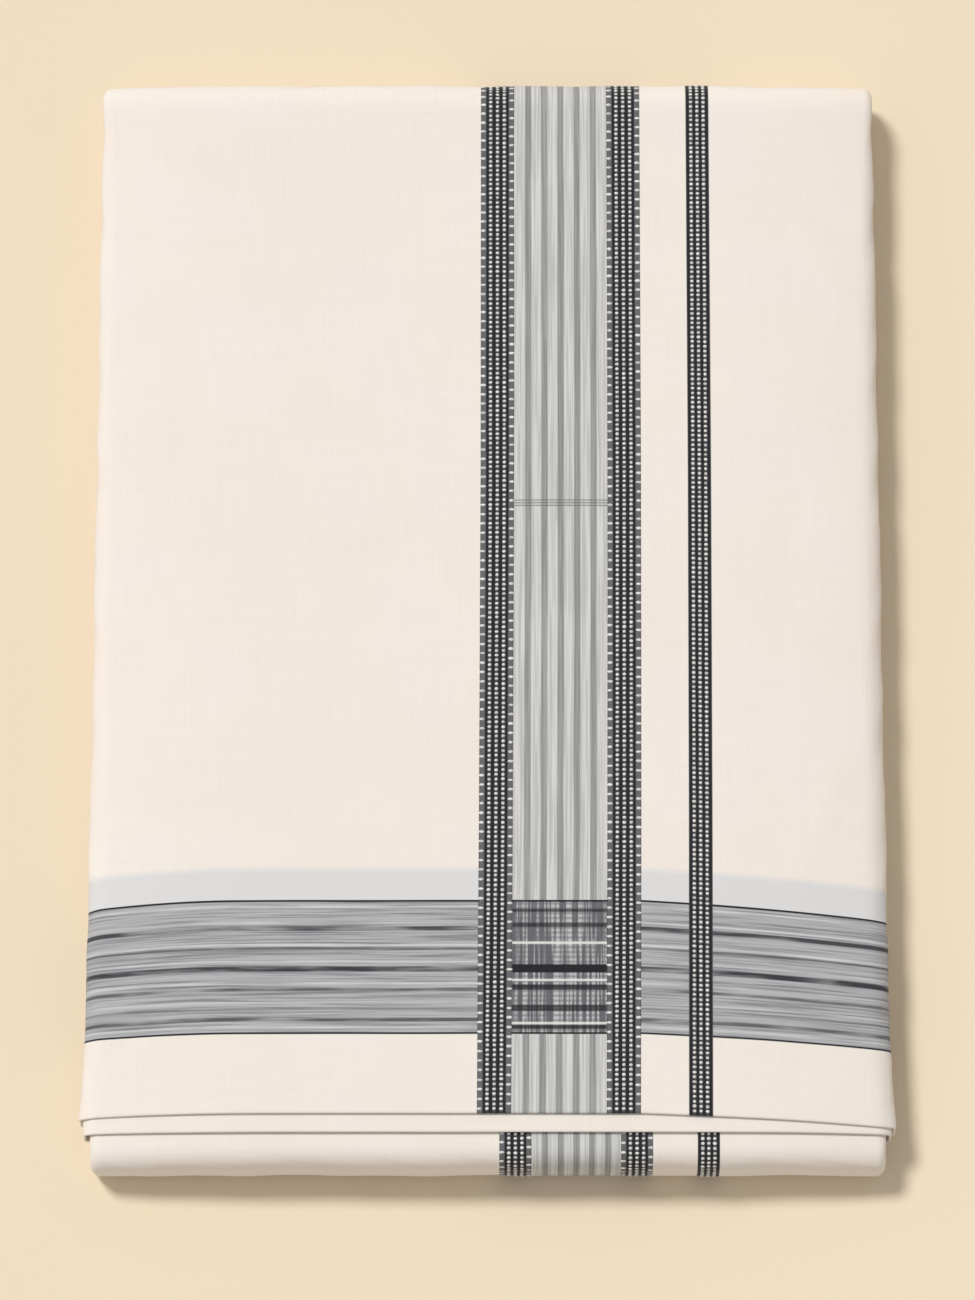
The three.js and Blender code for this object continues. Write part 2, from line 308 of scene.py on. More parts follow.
def make_object(name, points, faces, material, uvs):
    """A smooth-shaded piece from points in millimetres, with (u, v) of the cloth as its UVs."""
    mesh = bpy.data.meshes.new(name)
    mesh.from_pydata((np.asarray(points) * MM).tolist(), [], faces)
    layer = mesh.uv_layers.new(name="Cloth")
    index = np.zeros(len(mesh.loops), np.int32)
    mesh.loops.foreach_get("vertex_index", index)
    layer.data.foreach_set("uv", np.asarray(uvs, np.float32)[index].ravel())
    mesh.polygons.foreach_set("use_smooth", [True] * len(mesh.polygons))
    mesh.materials.append(material)
    bm = bmesh.new()
    bm.from_mesh(mesh)
    bmesh.ops.recalc_face_normals(bm, faces=bm.faces)
    bm.to_mesh(mesh)
    bm.free()
    piece = bpy.data.objects.new(name, mesh)
    bpy.context.collection.objects.link(piece)
    return piece


def grid_faces(rows, columns, offset=0):
    r, c = np.meshgrid(np.arange(rows - 1), np.arange(columns - 1), indexing="ij")
    a = offset + r * columns + c
    return np.stack([a, a + 1, a + columns + 1, a + columns], axis=-1).reshape(-1, 4).tolist()


def cloth_shell(name, surface, thickness, material, round_steps=4):
    """A thin closed shell inside a surface, its first edge rounded over as a pressed fold."""
    outer, u, v = surface
    normal = grid_normals(outer)
    inner = outer - normal * thickness
    forward = unit(outer[0] - outer[1])
    middle = (outer[0] + inner[0]) / 2
    rounds = []
    for i in range(1, round_steps):
        a = math.pi * i / round_steps
        rounds.append(middle + thickness / 2 * (normal[0] * -math.cos(a) + forward * math.sin(a)))
    rows = [*outer, *inner[::-1], *rounds]
    points = np.concatenate(rows)
    row_uv = np.stack([u, v], axis=2)
    uvs = np.concatenate([*row_uv, *row_uv[::-1], *([row_uv[0]] * len(rounds))])
    count, columns = len(rows), outer.shape[1]
    faces = grid_faces(count, columns)
    first, last = np.arange(columns - 1), (count - 1) * columns + np.arange(columns - 1)
    faces += np.stack([last, last + 1, first + 1, first], axis=1).tolist()
    stations = outer.shape[0]
    for column in (0, columns - 1):
        ring = [k * columns + column for k in range(count)]
        for k in range(stations - 1):
            faces.append([ring[k], ring[k + 1], ring[2 * stations - 2 - k], ring[2 * stations - 1 - k]])
        faces.append([ring[0], ring[2 * stations - 1], *ring[2 * stations:]])
    return make_object(name, points, faces, material, uvs)


TOP_COUNTS = {"top": 44, "shoulder": 8, "side": 6, "lip": 5, "return": 3}
TUCK_COUNTS = {"top": 40, "shoulder": 7, "side": 4, "lip": 4, "return": 2}


def uneven_folds(path, seed):
    """The same path, its side folds hanging a little unevenly along it."""
    top = clamp01(path["nz"])
    path = dict(path)
    path["left"] = path["left"] + top * wander(path["y"], seed, FOLD_WANDER, (64, 37, 21))
    path["right"] = path["right"] + top * wander(path["y"], seed + 1, FOLD_WANDER, (57, 33, 19))
    return path


def no_drift(x, v):
    return 0 * x


def flap_drift(x, v):
    return table_value(WARP_DRIFT, "v", "shift", v) + 0 * x


def wrap_drift(x, v):
    """The lower packet's border lies further right than the flap's, and is drawn together."""
    return WRAP_DRIFT["shift"] - WRAP_DRIFT["narrowing"] * (x - WRAP_DRIFT["from"])


def flap_surface():
    near_hem = [HEM_Y, HEM_Y + 0.5, HEM_Y + 1.4]
    last_y = FLAP_ROWS[-1]["y"]
    top_y = np.concatenate([near_hem, np.arange(HEM_Y + 3.4, last_y - 2, 2.7), [last_y]])
    top = flat_path(top_y, HEIGHT, True, FLAP_ROWS)
    bend = bend_path(1, BACK_FOLD, HEIGHT, BACK_BEND_ROW, 34)
    below_y = np.linspace(BACK_Y - BACK_FOLD["reach"], UNDERSIDE_JOIN_Y + JOIN_GAP, 26)
    below = flat_path(below_y, 0, False, [{"y": 0, **UNDERSIDE_ROW}, {"y": 1, **UNDERSIDE_ROW}])
    path = uneven_folds(joined(top, bend, below), SEED + 10)
    v = along_path(path)
    return cloth_surface(path, v, TOP_COUNTS, flap_drift, True)


def under_ply_surface():
    hidden = np.arange(UNDER_PLY_Y + 2, HIDDEN_END_Y - 1, 2.8)
    ys = np.concatenate([[UNDER_PLY_Y, UNDER_PLY_Y + 0.5], hidden, [HIDDEN_END_Y]])
    rows = [{key: row[key] - UNDER_PLY_INSET.get(key, 0) for key in row} for row in FLAP_ROWS]
    path = uneven_folds(flat_path(ys, UNDER_PLY_Z, True, rows), SEED + 14)
    return cloth_surface(path, along_path(path), TUCK_COUNTS, no_drift, False)


def front_wrap_surface(start_v):
    under_rows = [{"y": 0, **UNDERSIDE_ROW}, {"y": 1, **UNDERSIDE_ROW}]
    below_y = np.linspace(UNDERSIDE_JOIN_Y - JOIN_GAP, FRONT_FOLD["reach"] - BACK_Y, 60)
    below = flat_path(below_y, 0, False, under_rows)
    bend = reversed_path(bend_path(-1, FRONT_FOLD, FRONT_WRAP_Z, FRONT_BEND_ROW, 34))
    lip = [{"y": FRONT_FOLD["reach"] - BACK_Y, **FRONT_BEND_ROW}]
    for row in FLAP_ROWS[:3]:
        lip.append({"y": row["y"], **FRONT_LIP_ROW, "flare": row["flare"] - FRONT_LIP_INSET})
    top_y = np.arange(FRONT_FOLD["reach"] - BACK_Y, HIDDEN_END_Y, 2.6)
    path = joined(below, bend, flat_path(top_y, FRONT_WRAP_Z, True, lip))
    path = uneven_folds(path, SEED + 18)
    return cloth_surface(path, start_v + along_path(path), TUCK_COUNTS, wrap_drift, False)


# --- the hidden layers, with their folded edges ---------------------------------------------

CORE_LAYERS = 15
CORE_HALF = 118.6
CORE_LOW = 0.95
CORE_INSET = 1.0
CORE_TUCK = 3.9
CORE_GROOVE = 1.3
# The outline of one folded edge: how far up its layer, and how deep in its groove.
EDGE_POINTS = ((0.0, 1.0), (0.14, 0.42), (0.34, 0.08), (0.62, 0.0), (0.86, 0.34))


def core_object(name, material):
    """The stack of hidden plies: a rounded block whose two sides are rows of folded edges."""
    rng = np.random.default_rng(SEED + 30)
    shares = {side: rng.uniform(0.75, 1.3, CORE_LAYERS) for side in (-1, 1)}
    insets = {side: rng.uniform(0.0, 1.1, CORE_LAYERS) for side in (-1, 1)}
    front_top, back_top = FRONT_WRAP_Z - CORE_INSET, HEIGHT - CORE_INSET
    end_angles = np.linspace(0, 0.47 * math.pi, 12)
    stations = []
    for side, fold, top in ((-1, FRONT_FOLD, front_top), (1, BACK_FOLD, back_top)):
        out, up, _, _ = superellipse(end_angles, fold["squareness"])
        reach = fold["reach"] - CORE_INSET
        end = [(side * (BACK_Y - CORE_INSET - reach * (1 - o)), top, k) for o, k in zip(out, up)]
        stations.append(end)
    front, back = stations
    middle_y = np.arange(front[0][0] + 2.2, back[0][0] - 1, 2.2)
    step_up = smooth(HIDDEN_END_Y + 1, HIDDEN_END_Y + 14, middle_y)
    middle = [(y, front_top + (back_top - front_top) * s, 1.0) for y, s in zip(middle_y, step_up)]
    rings, uvs = [], []
    for y, top, keep in [*front[::-1], *middle, *back]:
        centre, rise = (CORE_LOW + top) / 2, (top - CORE_LOW) / 2 * keep
        low, high = centre - rise, centre + rise
        tucked = CORE_HALF
        if y < HIDDEN_END_Y + 1:
            tucked = min(tucked, HALF_WIDTH + table_value(FLAP_ROWS, "y", "flare", y) - CORE_TUCK)
        soften = min(1.0, rise / 8)
        profiles = {}
        for side in (-1, 1):
            edges = np.concatenate([[0.0], np.cumsum(shares[side]) / shares[side].sum()])
            profile = []
            for k in range(CORE_LAYERS):
                seed = SEED + 50 + k * 3 + side
                crest = insets[side][k] + wander(y, seed, 0.55, (96, 53, 31))
                crest = max(0.0, crest) * soften
                mid_shift = wander(y, seed + 200, 0.10, (74, 41)) / CORE_LAYERS
                for part, depth in EDGE_POINTS:
                    share = edges[k] + (edges[k + 1] - edges[k]) * part + (mid_shift if part else 0)
                    groove = CORE_GROOVE * soften * depth
                    profile.append((tucked - crest - groove, low + (high - low) * share))
            profile.append((tucked - CORE_GROOVE * soften, high))
            profiles[side] = profile
        right = profiles[1]
        left = [(-x, z) for x, z in profiles[-1]][::-1]
        inner = np.linspace(0, 1, 14)[1:-1]
        top_line = [(right[-1][0] + (left[0][0] - right[-1][0]) * t, high) for t in inner]
        low_line = [(left[-1][0] + (right[0][0] - left[-1][0]) * t, low) for t in inner]
        ring = np.array(right + top_line + left + low_line)
        x, z = ring[:, 0], ring[:, 1]
        rings.append(np.stack([x, np.full(len(x), y), z * crown_scale(x, y)], axis=1))
        uvs.append(np.stack([x + 0.9 * z, np.full(len(x), y)], axis=1))
    count = len(rings[0])
    points = np.concatenate(rings)
    uv = np.concatenate(uvs)
    faces = []
    for r in range(len(rings) - 1):
        for i in range(count):
            j = (i + 1) % count
            faces.append([r * count + i, r * count + j, (r + 1) * count + j, (r + 1) * count + i])
    for ring in (0, len(rings) - 1):
        centre = len(points)
        points = np.vstack([points, rings[ring].mean(axis=0)])
        uv = np.vstack([uv, [0, rings[ring][0][1]]])
        faces += [[centre, ring * count + i, ring * count + (i + 1) % count] for i in range(count)]
    return make_object(name, points, faces, material, uv)


# --- the woven border ------------------------------------------------------------------------

# Bands of white floats on charcoal, across the cloth: u of the middle, width, and the
# spacing of their columns.
BEAD_BANDS = [
    {"centre": 2.75, "wide": 10.3, "pitch": 2.12, "beads": (-1, 0, 1), "dashes": (-2, 2)},
    {"centre": 41.75, "wide": 10.3, "pitch": 2.12, "beads": (-1, 0, 1), "dashes": (-2, 2)},
    {"centre": 64.9, "wide": 7.2, "pitch": 1.95, "beads": (-1, 0, 1), "dashes": ()},
]
BEAD = {"pitch": 1.5, "across": 1.16, "along": 0.98, "rise": 0.26, "sides": 8}
DASH = {"pitch": 2.95, "across": 1.75, "along": 0.92, "rise": 0.18, "sides": 8}
DASH_OUTSET = 0.15
FLOAT_WANDER = {"along": 0.045, "size": 0.07}
# A float's rings: their share of its size, and their height as a share of its rise.
DOME_RINGS = ((1.0, -0.10), (0.94, 0.45), (0.6, 0.92))
GREY_STRIP = {"from": 7.9, "to": 36.6}
GREY_STRIPES = {"first": 12.25, "pitch": 5.03, "count": 5, "wide": 1.9}


def surface_line(surface, u_at):
    """The line on a surface at one u: its points, its normals and its directions, by row."""
    points, u, _ = surface
    rows = np.arange(points.shape[0])

    def at(value):
        column = np.array([np.interp(value, u[r], np.arange(u.shape[1])) for r in rows])
        low = np.minimum(column.astype(int), u.shape[1] - 2)
        part = (column - low)[:, None]
        return points[rows, low] * (1 - part) + points[rows, low + 1] * part

    line = at(u_at)
    across = unit(at(u_at + 0.5) - at(u_at - 0.5))
    along = unit(np.gradient(line, axis=0))
    return line, unit(np.cross(across, along)), across, along


def float_dome(kind):
    """A low dome's points (across, along, up) and faces, its rim sunk into the cloth."""
    turn = np.linspace(0, 2 * math.pi, kind["sides"], endpoint=False) + math.pi / kind["sides"]
    rings = []
    for size, up in DOME_RINGS:
        x = size * kind["across"] / 2 * np.cos(turn)
        y = size * kind["along"] / 2 * np.sin(turn)
        rings.append(np.stack([x, y, np.full(len(turn), up * kind["rise"])], axis=1))
    points = np.vstack([*rings, [[0, 0, kind["rise"]]]])
    faces = []
    n = kind["sides"]
    for r in range(2):
        for i in range(n):
            j = (i + 1) % n
            faces.append([r * n + i, r * n + j, (r + 1) * n + j, (r + 1) * n + i])
    faces += [[2 * n + i, 2 * n + (i + 1) % n, 3 * n] for i in range(n)]
    faces.append(list(range(n))[::-1])
    return points, faces


def woven_floats(name, surface, material, v_range):
    """Every white float of the border as one joined mesh, on the surface of its strip."""
    rng = np.random.default_rng(SEED + 400 + len(name))
    v_rows = surface[2][:, 0]
    all_points, all_faces, all_uvs, base = [], [], [], 0
    for band in BEAD_BANDS:
        columns = [(k, BEAD) for k in band["beads"]] + [(k, DASH) for k in band["dashes"]]
        for k, kind in columns:
            u_at = band["centre"] + k * band["pitch"] + (DASH_OUTSET * np.sign(k) if kind is DASH else 0)
            line, normal, across, along = surface_line(surface, u_at)
            phase = kind["pitch"] * (0.5 if k > 1 else 0.0)
            v = np.arange(v_range[0] + phase, v_range[1], kind["pitch"])
            v = v + rng.normal(0, FLOAT_WANDER["along"], len(v))
            at = []
            for values in (line, normal, across, along):
                at.append(np.stack([np.interp(v, v_rows, values[:, i]) for i in range(3)], axis=1))
            middle, outward, sideways, lengthwise = (values[:, None] for values in at)
            size = rng.normal(1, FLOAT_WANDER["size"], (len(v), 3)).clip(0.8, 1.2)
            dome, faces = float_dome(kind)
            scaled = dome[None] * size[:, None, :]
            points = middle + scaled[..., :1] * sideways + scaled[..., 1:2] * lengthwise
            points = points + scaled[..., 2:] * outward
            all_points.append(points.reshape(-1, 3))
            uv = np.stack([u_at + scaled[..., 0], v[:, None] + scaled[..., 1]], axis=2)
            all_uvs.append(uv.reshape(-1, 2))
            for i in range(len(v)):
                start = base + i * len(dome)
                all_faces += [[start + c for c in face] for face in faces]
            base += len(v) * len(dome)
    return make_object(name, np.concatenate(all_points), all_faces, material, np.concatenate(all_uvs))


# --- materials -------------------------------------------------------------------------------

# Colours as they look in full light, from 0 to 255.
COLOURS = {
    "cream": (244, 237, 230),
    "cream_warm": (243, 234, 224),
    "cream_cool": (243, 239, 234),
    "charcoal": (38, 39, 43),
    "iron": (84, 86, 91),
    "track": (112, 114, 118),
    "strip_light": (206, 207, 207),
    "strip_white": (232, 232, 230),
    "strip_dark": (139, 141, 143),
    "strip_mid": (170, 172, 173),
    "pale": (219, 221, 225),
    "end_mid": (158, 160, 165),
    "end_dark": (58, 60, 66),
    "end_line": (36, 37, 43),
    "end_light": (215, 217, 220),
    "float_white": (238, 238, 236),
    "float_grey": (196, 197, 198),
    "floor": (243, 227, 202),
}
FULL_LIGHT_ALBEDO = 0.9


def linear(name):
    """A named colour as the albedo that looks so in full light."""
    channels = []
    for value in COLOURS[name]:
        c = value / 255
        channels.append(FULL_LIGHT_ALBEDO * (c / 12.92 if c <= 0.04045 else ((c + 0.055) / 1.055) ** 2.4))
    return (*channels, 1.0)


class Nodes:
    """Short calls that add shader nodes to one material and join them up."""

    def __init__(self, name):
        self.material = bpy.data.materials.new(name)
        self.material.use_nodes = True
        self.tree = self.material.node_tree
        self.tree.nodes.clear()
        self.shader = self.tree.nodes.new("ShaderNodeBsdfPrincipled")
        output = self.tree.nodes.new("ShaderNodeOutputMaterial")
        self.tree.links.new(self.shader.outputs[0], output.inputs[0])

    def put(self, socket, value):
        if isinstance(value, bpy.types.NodeSocket):
            self.tree.links.new(value, socket)
        else:
            socket.default_value = value

    def math(self, operation, a, b=0.0, c=0.0):
        node = self.tree.nodes.new("ShaderNodeMath")
        node.operation = operation
        for socket, value in zip(node.inputs, (a, b, c)):
            self.put(socket, value)
        return node.outputs[0]

    def span(self, value, low, high, to_low=0.0, to_high=1.0, soft=True):
        node = self.tree.nodes.new("ShaderNodeMapRange")
        node.interpolation_type = "SMOOTHSTEP" if soft else "LINEAR"
        for socket, v in zip(node.inputs, (value, low, high, to_low, to_high)):
            self.put(socket, v)
        return node.outputs[0]

    def stripe(self, value, middle, wide, soft=0.12):
        off = self.math("ABSOLUTE", self.math("SUBTRACT", value, middle))
        return self.span(off, wide / 2 + soft, wide / 2 - soft)

    def repeat(self, value, first, pitch):
        """Distance from the nearest of a row of lines one pitch apart."""
        turns = self.math("DIVIDE", self.math("SUBTRACT", value, first), pitch)
        part = self.math("FRACT", self.math("ADD", turns, 0.5))
        return self.math("MULTIPLY", self.math("ABSOLUTE", self.math("SUBTRACT", part, 0.5)), pitch)

    def wave(self, value, pitch, phase=0.0):
        return self.math("SINE", self.math("MULTIPLY_ADD", value, 2 * math.pi / pitch, phase))

    def noise(self, x, y, detail=2.0, seed=0.0):
        vector = self.tree.nodes.new("ShaderNodeCombineXYZ")
        for socket, v in zip(vector.inputs, (x, y, seed)):
            self.put(socket, v)
        node = self.tree.nodes.new("ShaderNodeTexNoise")
        self.put(node.inputs["Vector"], vector.outputs[0])
        self.put(node.inputs["Scale"], 1.0)
        self.put(node.inputs["Detail"], detail)
        return node.outputs[0]

    def mix(self, factor, a, b):
        node = self.tree.nodes.new("ShaderNodeMix")
        node.data_type = "RGBA"
        self.put(node.inputs[0], factor)
        self.put(node.inputs[6], linear(a) if isinstance(a, str) else a)
        self.put(node.inputs[7], linear(b) if isinstance(b, str) else b)
        return node.outputs[2]

    def shade(self, colour, factor):
        """The colour made lighter or darker by a factor near 1."""
        node = self.tree.nodes.new("ShaderNodeVectorMath")
        node.operation = "SCALE"
        self.put(node.inputs[0], colour if isinstance(colour, bpy.types.NodeSocket) else colour[:3])
        self.put(node.inputs["Scale"], factor)
        return node.outputs[0]

    def streaks(self, value, rows, low, high):
        """How far a value lies in any of the streaks of a table, by one ramp."""
        node = self.tree.nodes.new("ShaderNodeValToRGB")
        node.color_ramp.interpolation = "LINEAR"
        stops = []
        for row in sorted(rows, key=lambda r: r["at"]):
            half, soft = row["wide"] / 2, 0.18
            stops += [(row["at"] - half - soft, 0.0), (row["at"] - half, row["depth"]),
                      (row["at"] + half, row["depth"]), (row["at"] + half + soft, 0.0)]
        elements = node.color_ramp.elements
        while len(elements) < len(stops):
            elements.new(0.5)
        for element, (at, depth) in zip(elements, stops):
            element.position = min(1.0, max(0.0, (at - low) / (high - low)))
            element.color = (depth, depth, depth, 1)
        self.put(node.inputs[0], self.span(value, low, high, soft=False))
        return node.outputs[0]


END_BAND = {"from": 23.8, "to": 65.3}
PALE_STRIPE_TO = 75.2
THIN_LINES = {"middle": 190.4, "pitch": 0.85}
# Streaks of the woven end band, v from the hem: where it is plain, and where it crosses the
# grey strip of the border.
END_DARK = [
    {"at": 56.4, "wide": 1.2, "depth": 0.85},
    {"at": 50.2, "wide": 0.6, "depth": 0.65},
    {"at": 43.9, "wide": 1.5, "depth": 0.90},
    {"at": 37.5, "wide": 0.8, "depth": 0.70},
    {"at": 31.6, "wide": 0.5, "depth": 0.45},
    {"at": 28.3, "wide": 1.0, "depth": 0.75},
]
END_LIGHT = [
    {"at": 63.2, "wide": 0.5, "depth": 0.75},
    {"at": 58.2, "wide": 0.4, "depth": 0.65},
    {"at": 51.3, "wide": 0.5, "depth": 0.80},
    {"at": 46.2, "wide": 0.35, "depth": 0.70},
    {"at": 39.5, "wide": 0.5, "depth": 0.75},
    {"at": 33.5, "wide": 0.4, "depth": 0.60},
    {"at": 26.0, "wide": 0.45, "depth": 0.70},
]
CROSS_DARK = [
    {"at": 62.0, "wide": 0.8, "depth": 0.8},
    {"at": 57.5, "wide": 1.1, "depth": 0.8},
    {"at": 44.1, "wide": 2.4, "depth": 1.0},
    {"at": 38.3, "wide": 1.5, "depth": 0.9},
    {"at": 31.9, "wide": 1.7, "depth": 0.85},
    {"at": 26.0, "wide": 1.0, "depth": 0.9},
]
CROSS_LIGHT = [
    {"at": 52.0, "wide": 0.6, "depth": 0.9},
    {"at": 40.5, "wide": 0.5, "depth": 0.9},
    {"at": 27.2, "wide": 0.5, "depth": 0.9},
]
# The plain weave's pitch, and how rough the cloth is.
THREAD = 0.52
BUMP_STRENGTH = 0.55
SURFACE = {"Roughness": 0.86, "Specular IOR Level": 0.22, "Sheen Weight": 0.12, "Sheen Roughness": 0.45}


def cotton(n, u, v):
    """The plain cream cloth's colour and its weave's height."""
    broad = n.noise(n.math("MULTIPLY", u, 0.022), n.math("MULTIPLY", v, 0.022), 3.0, 3.1)
    colour = n.mix(n.span(broad, 0.38, 0.62), "cream_warm", "cream_cool")
    colour = n.mix(0.65, colour, "cream")
    slub_v = n.noise(n.math("MULTIPLY", u, 1.7), n.math("MULTIPLY", v, 0.06), 2.0, 7.7)
    slub_u = n.noise(n.math("MULTIPLY", u, 0.06), n.math("MULTIPLY", v, 1.9), 2.0, 1.3)
    slub = n.math("ADD", slub_u, slub_v)
    colour = n.shade(colour, n.span(slub, 0.6, 1.4, 0.972, 1.022, soft=False))
    weave = n.math("MULTIPLY", n.wave(u, THREAD), n.wave(v, THREAD))
    colour = n.shade(colour, n.math("MULTIPLY_ADD", weave, 0.02, 1.0))
    height = n.math("ADD", n.math("MULTIPLY", weave, 0.5), n.math("MULTIPLY", slub, 1.6))
    return colour, height


def finish_cloth(n, colour, height, bump_mm=0.03):
    bump = n.tree.nodes.new("ShaderNodeBump")
    n.put(bump.inputs["Strength"], BUMP_STRENGTH)
    n.put(bump.inputs["Distance"], bump_mm * MM)
    n.put(bump.inputs["Height"], height)
    n.put(n.shader.inputs["Normal"], bump.outputs[0])
    n.put(n.shader.inputs["Base Color"], colour)
    for key, value in SURFACE.items():
        n.put(n.shader.inputs[key], value)


def cloth_coordinates(n):
    node = n.tree.nodes.new("ShaderNodeUVMap")
    node.uv_map = "Cloth"
    split = n.tree.nodes.new("ShaderNodeSeparateXYZ")
    n.put(split.inputs[0], node.outputs[0])
    return split.outputs[0], split.outputs[1]


def plain_cotton():
    n = Nodes("plain_cotton")
    u, v = cloth_coordinates(n)
    finish_cloth(n, *cotton(n, u, v))
    return n.material


def end_band_colour(n, u, v):
    """The woven end band's own colour, and the darker plaid where it crosses the strip."""
    run = n.noise(n.math("MULTIPLY", u, 0.035), n.math("MULTIPLY", v, 2.6), 3.0, 2.4)
    fade = n.noise(n.math("MULTIPLY", u, 0.05), n.math("MULTIPLY", v, 0.4), 2.0, 9.2)
    tick = n.math("MULTIPLY", n.wave(u, 0.74), n.wave(v, 0.86, 0.8))
    strength = n.span(fade, 0.3, 0.6, 0.35, 1.1)
    colour = n.mix(n.span(run, 0.26, 0.62), "end_dark", "end_light")
    colour = n.mix(0.58, colour, "end_mid")
    dark = n.math("MULTIPLY", n.streaks(v, END_DARK, *END_BAND.values()), strength)
    faintness = n.span(fade, 0.66, 0.35, 0.4, 1.1)
    light = n.math("MULTIPLY", n.streaks(v, END_LIGHT, *END_BAND.values()), faintness)
    colour = n.mix(dark, colour, "end_dark")
    colour = n.mix(light, colour, "end_light")
    colour = n.shade(colour, n.math("MULTIPLY_ADD", tick, 0.26, 1.0))
    warp = n.noise(n.math("MULTIPLY", u, 1.3), n.math("MULTIPLY", v, 0.03), 2.0, 4.4)
    grid = n.math("MULTIPLY", n.span(warp, 0.42, 0.6), n.math("MULTIPLY_ADD", n.wave(v, 1.5), 0.3, 0.7))
    cross = n.mix(grid, "end_dark", "end_light")
    cross = n.mix(0.30, cross, "end_mid")
    cross = n.mix(n.streaks(v, CROSS_DARK, *END_BAND.values()), cross, "end_line")
    cross = n.mix(n.streaks(v, CROSS_LIGHT, *END_BAND.values()), cross, "strip_white")
    return colour, n.shade(cross, n.math("MULTIPLY_ADD", tick, 0.22, 1.0))


def bordered_cotton():
    """Cream cotton with the lengthwise border and, near the hem, the woven end band."""
    n = Nodes("bordered_cotton")
    u, v = cloth_coordinates(n)
    colour, height = cotton(n, u, v)

    pale_start = n.span(v, END_BAND["to"] - 0.5, END_BAND["to"] + 0.3)
    pale_end = n.span(v, PALE_STRIPE_TO + 1.2, PALE_STRIPE_TO - 1.8)
    pale = n.math("MULTIPLY", pale_start, pale_end)
    colour = n.mix(n.math("MULTIPLY", pale, 0.85), colour, "pale")

    strip_mid = (GREY_STRIP["from"] + GREY_STRIP["to"]) / 2
    in_strip = n.stripe(u, strip_mid, GREY_STRIP["to"] - GREY_STRIP["from"], 0.15)
    threads = n.noise(n.math("MULTIPLY", u, 2.3), n.math("MULTIPLY", v, 0.035), 2.0, 5.5)
    strip = n.mix(n.span(threads, 0.36, 0.64), "strip_mid", "strip_white")
    strip = n.mix(0.55, strip, "strip_light")
    stripe = n.span(n.repeat(u, GREY_STRIPES["first"], GREY_STRIPES["pitch"]),
                    GREY_STRIPES["wide"] / 2 + 0.2, GREY_STRIPES["wide"] / 2 - 0.15)
    stripes_mid = GREY_STRIPES["first"] + (GREY_STRIPES["count"] - 1) / 2 * GREY_STRIPES["pitch"]
    ends = n.stripe(u, stripes_mid, GREY_STRIPES["count"] * GREY_STRIPES["pitch"] - 0.5)
    stripe = n.math("MULTIPLY", stripe, ends)
    strip = n.mix(n.math("MULTIPLY", stripe, n.span(threads, 0.3, 0.7, 0.95, 0.7)), strip, "strip_dark")
    near_lines = n.stripe(v, THIN_LINES["middle"], 2.6 * THIN_LINES["pitch"])
    thin = n.span(n.repeat(v, THIN_LINES["middle"], THIN_LINES["pitch"]), 0.26, 0.12)
    strip = n.mix(n.math("MULTIPLY", n.math("MULTIPLY", thin, near_lines), 0.75), strip, "track")
    colour = n.mix(in_strip, colour, strip)

    in_band = n.stripe(v, sum(END_BAND.values()) / 2, END_BAND["to"] - END_BAND["from"], 0.08)
    plain, cross = end_band_colour(n, u, v)
    band = n.mix(in_strip, plain, cross)
    edge = n.math("ADD", n.stripe(v, END_BAND["to"] - 0.35, 0.6), n.stripe(v, END_BAND["from"] + 0.35, 0.55))
    band = n.mix(n.math("MINIMUM", edge, 1.0), band, "end_line")
    colour = n.mix(in_band, colour, band)

    tone = n.noise(n.math("MULTIPLY", u, 1.1), n.math("MULTIPLY", v, 0.9), 2.0, 6.1)
    for row in BEAD_BANDS:
        inside = n.stripe(u, row["centre"], row["wide"], 0.15)
        local = n.repeat(u, row["centre"], row["pitch"])
        track = n.span(local, 0.72, 0.42)
        ground = n.mix(n.math("MULTIPLY", track, n.span(tone, 0.3, 0.7, 0.35, 0.9)), "charcoal", "iron")
        for k in row["dashes"]:
            outer = n.stripe(u, row["centre"] + k * row["pitch"], 1.5, 0.2)
            ground = n.mix(n.math("MULTIPLY", outer, 0.8), ground, "track")
        colour = n.mix(inside, colour, ground)
        height = n.math("ADD", height, n.math("MULTIPLY", n.math("MULTIPLY", inside, track), 2.0))
    finish_cloth(n, colour, height)
    return n.material


def float_cotton():
    """The white yarn of the border's raised floats."""
    n = Nodes("float_cotton")
    u, v = cloth_coordinates(n)
    tone = n.noise(n.math("MULTIPLY", u, 0.8), n.math("MULTIPLY", v, 0.7), 2.0, 8.8)
    colour = n.mix(n.span(tone, 0.3, 0.62), "float_grey", "float_white")
    finish_cloth(n, colour, n.wave(n.math("ADD", u, v), 0.3), 0.02)
    return n.material


# --- building the object ---------------------------------------------------------------------

bordered, plain, white_yarn = bordered_cotton(), plain_cotton(), float_cotton()

flap = flap_surface()
wrap = front_wrap_surface(flap[2][-1, 0])
under = under_ply_surface()
top_flap = cloth_shell("top_flap_cloth", flap, PLY, bordered)
front_wrap = cloth_shell("front_wrap_cloth", wrap, PLY, bordered)
under_ply = cloth_shell("under_ply_cloth", under, PLY, plain)
core = core_object("folded_core_cloth", plain)
flap_floats = woven_floats("top_flap_floats", flap, white_yarn, (0.9, flap[2][-1, 0] - 1))
wrap_floats = woven_floats("front_wrap_floats", wrap, white_yarn, (wrap[2][0, 0] + 1, wrap[2][-1, 0] - 1))

for piece, node, slot in (
    (top_flap, "top_flap", "cotton_border"),
    (under_ply, "under_ply", "cotton_plain"),
    (front_wrap, "front_wrap", "cotton_border"),
    (core, "folded_core", "cotton_plain"),
):
    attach(piece, "root")
    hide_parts(node)
for piece in (flap_floats, wrap_floats):
    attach(piece, "root")


# --- floor, light and camera -----------------------------------------------------------------

